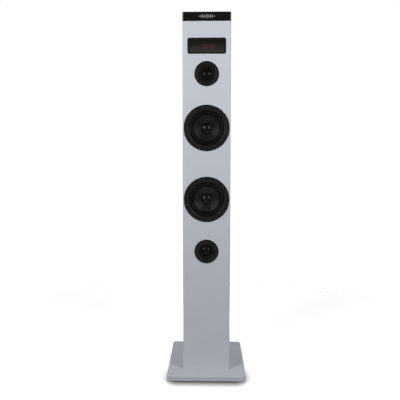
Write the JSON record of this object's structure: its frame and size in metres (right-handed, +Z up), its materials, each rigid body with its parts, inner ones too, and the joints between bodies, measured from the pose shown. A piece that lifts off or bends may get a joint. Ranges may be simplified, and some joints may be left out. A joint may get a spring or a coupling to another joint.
{
  "type": "tower speaker",
  "caption": "Slim floor-standing column speaker with woofers, dome tweeters, a front display and a gloss control cap on a wide base plate.",
  "frame": {"origin": "on the floor at the middle of the base plate's footprint", "axes": "+Z up the column, -Y out of the front baffle, +X to the right seen from the front"},
  "size_m": [0.218, 0.24, 1],
  "materials": {
    "silver_paint": "satin pale silver-grey paint on fibreboard",
    "raw_board": "bare fibreboard",
    "zinc_steel": "zinc plated",
    "black_steel": "blackened",
    "foot_rubber": "matte",
    "gloss_black": "high gloss",
    "satin_black": "satin, fine moulded grain",
    "button_plastic": "satin",
    "circuit_board": "green solder mask",
    "emblem_print": "satin silver",
    "smoked_pane": "polished smoked acrylic",
    "red_light": "lit diffuser",
    "black_plate": "powder coat",
    "transformer_steel": "varnished laminations",
    "bright_metal": "nickel plated",
    "cable_sheath": "satin sheath",
    "surround_rubber": "matte butyl",
    "cone_black": "coated paper pulp, fine grain",
    "cap_black": "satin",
    "copper_winding": "enamelled wire",
    "spider_cloth": "resin treated cloth",
    "ferrite": "matte sintered",
    "dome_black": "soft satin"
  },
  "bodies": {
    "cabinet": {"front_baffle": "silver_paint", "left_side_panel": "silver_paint", "right_side_panel": "silver_paint", "rear_panel": "silver_paint", "base_plate": "silver_paint", "top_board": "raw_board", "bottom_board": "raw_board", "upper_divider": "raw_board", "base_bolts": "zinc_steel", "driver_screws": "black_steel", "panel_screws": "black_steel", "rubber_feet": "foot_rubber", "top_cap": "gloss_black", "control_board": "circuit_board", "front_emblem": "emblem_print", "display_bezel": "satin_black", "display_window": "smoked_pane", "display_board": "circuit_board", "lit_segments": "red_light", "amplifier_plate": "black_plate", "amplifier_board": "circuit_board", "power_transformer": "transformer_steel", "switch_housing": "satin_black", "mains_inlet": "satin_black", "usb_port": "bright_metal", "aux_jack": "satin_black", "reflex_port": "satin_black", "internal_wiring": "cable_sheath", "upper_woofer_trim_ring": "satin_black", "upper_woofer_basket": "black_plate", "upper_woofer_surround": "surround_rubber", "upper_woofer_spider": "spider_cloth", "upper_woofer_magnet": "ferrite", "upper_woofer_motor_steel": "zinc_steel", "lower_woofer_trim_ring": "satin_black", "lower_woofer_basket": "black_plate", "lower_woofer_surround": "surround_rubber", "lower_woofer_spider": "spider_cloth", "lower_woofer_magnet": "ferrite", "lower_woofer_motor_steel": "zinc_steel", "upper_tweeter_faceplate": "satin_black", "upper_tweeter_motor": "ferrite", "lower_tweeter_faceplate": "satin_black", "lower_tweeter_motor": "ferrite"},
    "power_button": {"power_button": "button_plastic"},
    "source_button": {"source_button": "button_plastic"},
    "previous_button": {"previous_button": "button_plastic"},
    "play_button": {"play_button": "button_plastic"},
    "next_button": {"next_button": "button_plastic"},
    "power_rocker": {"power_rocker": "gloss_black"},
    "upper_woofer_diaphragm": {"upper_woofer_cone": "cone_black", "upper_woofer_dust_cap": "cap_black", "upper_woofer_voice_coil": "copper_winding"},
    "lower_woofer_diaphragm": {"lower_woofer_cone": "cone_black", "lower_woofer_dust_cap": "cap_black", "lower_woofer_voice_coil": "copper_winding"},
    "upper_tweeter_diaphragm": {"upper_tweeter_dome": "dome_black", "upper_tweeter_voice_coil": "copper_winding"},
    "lower_tweeter_diaphragm": {"lower_tweeter_dome": "dome_black", "lower_tweeter_voice_coil": "copper_winding"}
  },
  "joints": [
    {"name": "power_button_press", "type": "slide", "parent": "cabinet", "child": "power_button", "axis": [0, 0, -1], "range_m": [0, 0.0005], "stiffness_N_per_m": 800},
    {"name": "source_button_press", "type": "slide", "parent": "cabinet", "child": "source_button", "axis": [0, 0, -1], "range_m": [0, 0.0005], "stiffness_N_per_m": 800},
    {"name": "previous_button_press", "type": "slide", "parent": "cabinet", "child": "previous_button", "axis": [0, 0, -1], "range_m": [0, 0.0005], "stiffness_N_per_m": 800},
    {"name": "play_button_press", "type": "slide", "parent": "cabinet", "child": "play_button", "axis": [0, 0, -1], "range_m": [0, 0.0005], "stiffness_N_per_m": 800},
    {"name": "next_button_press", "type": "slide", "parent": "cabinet", "child": "next_button", "axis": [0, 0, -1], "range_m": [0, 0.0005], "stiffness_N_per_m": 800},
    {"name": "power_rocker_tilt", "type": "hinge", "parent": "cabinet", "child": "power_rocker", "pos_m": [-0.024, 0.0833, 0.082], "axis": [1, 0, 0], "range_deg": [0, 20]},
    {"name": "upper_woofer_travel", "type": "slide", "parent": "cabinet", "child": "upper_woofer_diaphragm", "axis": [0, -1, 0], "range_m": [-0.003, 0.003], "stiffness_N_per_m": 1000, "deforming": ["upper_woofer_surround", "upper_woofer_spider"]},
    {"name": "lower_woofer_travel", "type": "slide", "parent": "cabinet", "child": "lower_woofer_diaphragm", "axis": [0, -1, 0], "range_m": [-0.003, 0.003], "stiffness_N_per_m": 1000, "deforming": ["lower_woofer_surround", "lower_woofer_spider"]},
    {"name": "upper_tweeter_travel", "type": "slide", "parent": "cabinet", "child": "upper_tweeter_diaphragm", "axis": [0, -1, 0], "range_m": [-0.0004, 0.0004], "stiffness_N_per_m": 1500},
    {"name": "lower_tweeter_travel", "type": "slide", "parent": "cabinet", "child": "lower_tweeter_diaphragm", "axis": [0, -1, 0], "range_m": [-0.0004, 0.0004], "stiffness_N_per_m": 1500}
  ]
}
